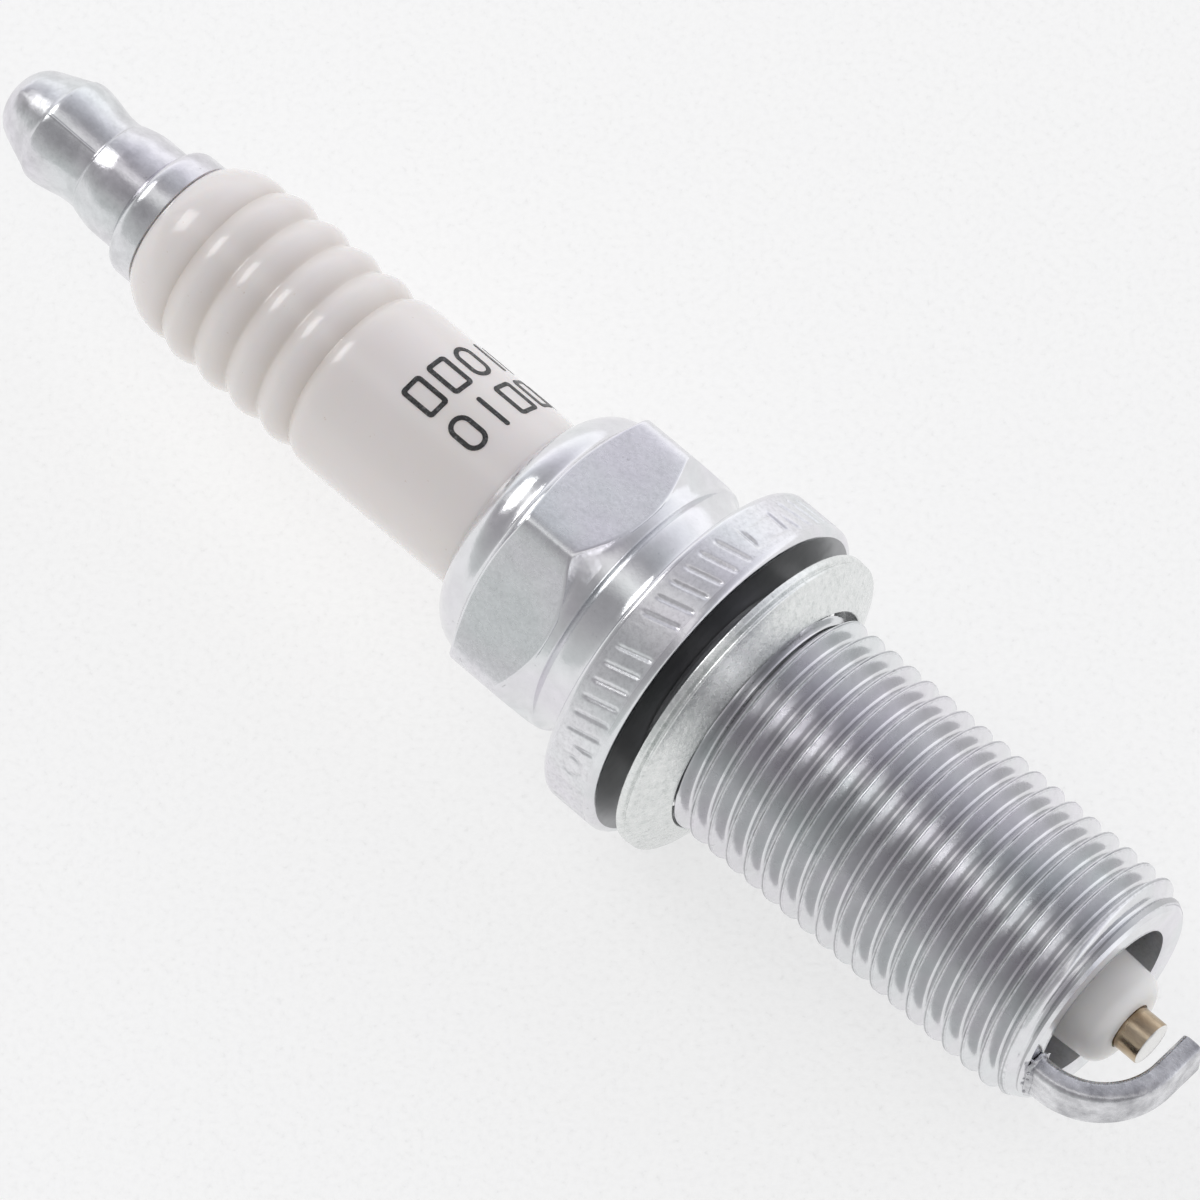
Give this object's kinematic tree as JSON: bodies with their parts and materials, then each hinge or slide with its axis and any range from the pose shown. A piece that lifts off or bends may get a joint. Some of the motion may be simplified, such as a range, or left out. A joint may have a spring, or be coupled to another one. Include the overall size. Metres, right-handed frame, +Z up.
{
  "type": "spark plug",
  "caption": "Long-reach spark plug with ribbed ceramic insulator, hex shell, captive crush gasket, push-on terminal nut and bent ground electrode.",
  "frame": {"origin": "on the plug's axis, in the plane of the flange's seat face", "axes": "+X along the axis towards the spark gap, -X towards the lead terminal, +Z up as the plug lies on its side, ground electrode towards -Y"},
  "size_m": [0.0832, 0.02, 0.02],
  "materials": {
    "zinc_plated_steel": "satin bright zinc plate with a faint bluish tint",
    "glazed_alumina": "clear glaze over warm white alumina, bare and matte on the nose",
    "plated_terminal": "satin plated steel",
    "conductive_glass": "dark fused glass and metal powder",
    "resistor_glass": "matte carbon-filled glass",
    "nickel_alloy": "smooth turned nickel alloy, faintly bronze",
    "copper": "plain copper",
    "soft_steel": "dull annealed steel",
    "talc": "pressed powder",
    "gasket_steel": "matte plated sheet steel",
    "strap_nickel": "satin drawn nickel alloy"
  },
  "bodies": {
    "plug": {"shell": "zinc_plated_steel", "insulator": "glazed_alumina", "terminal_stud": "plated_terminal", "upper_glass_seal": "conductive_glass", "resistor": "resistor_glass", "lower_glass_seal": "conductive_glass", "centre_electrode": "nickel_alloy", "centre_electrode_copper_core": "copper", "inner_seal_washer": "soft_steel", "lower_packing_ring": "soft_steel", "talc_packing": "talc", "upper_packing_ring": "soft_steel", "ground_electrode": "strap_nickel"},
    "gasket": {"gasket": "gasket_steel"},
    "terminal_nut": {"terminal_nut": "plated_terminal"}
  },
  "joints": [
    {"name": "gasket_slide", "type": "slide", "parent": "plug", "child": "gasket", "axis": [1, 0, 0], "range_m": [-0.0012, 0.0014]},
    {"name": "terminal_nut_unscrew", "type": "slide", "parent": "plug", "child": "terminal_nut", "axis": [-1, 0, 0], "range_m": [0, 0.0095]}
  ]
}
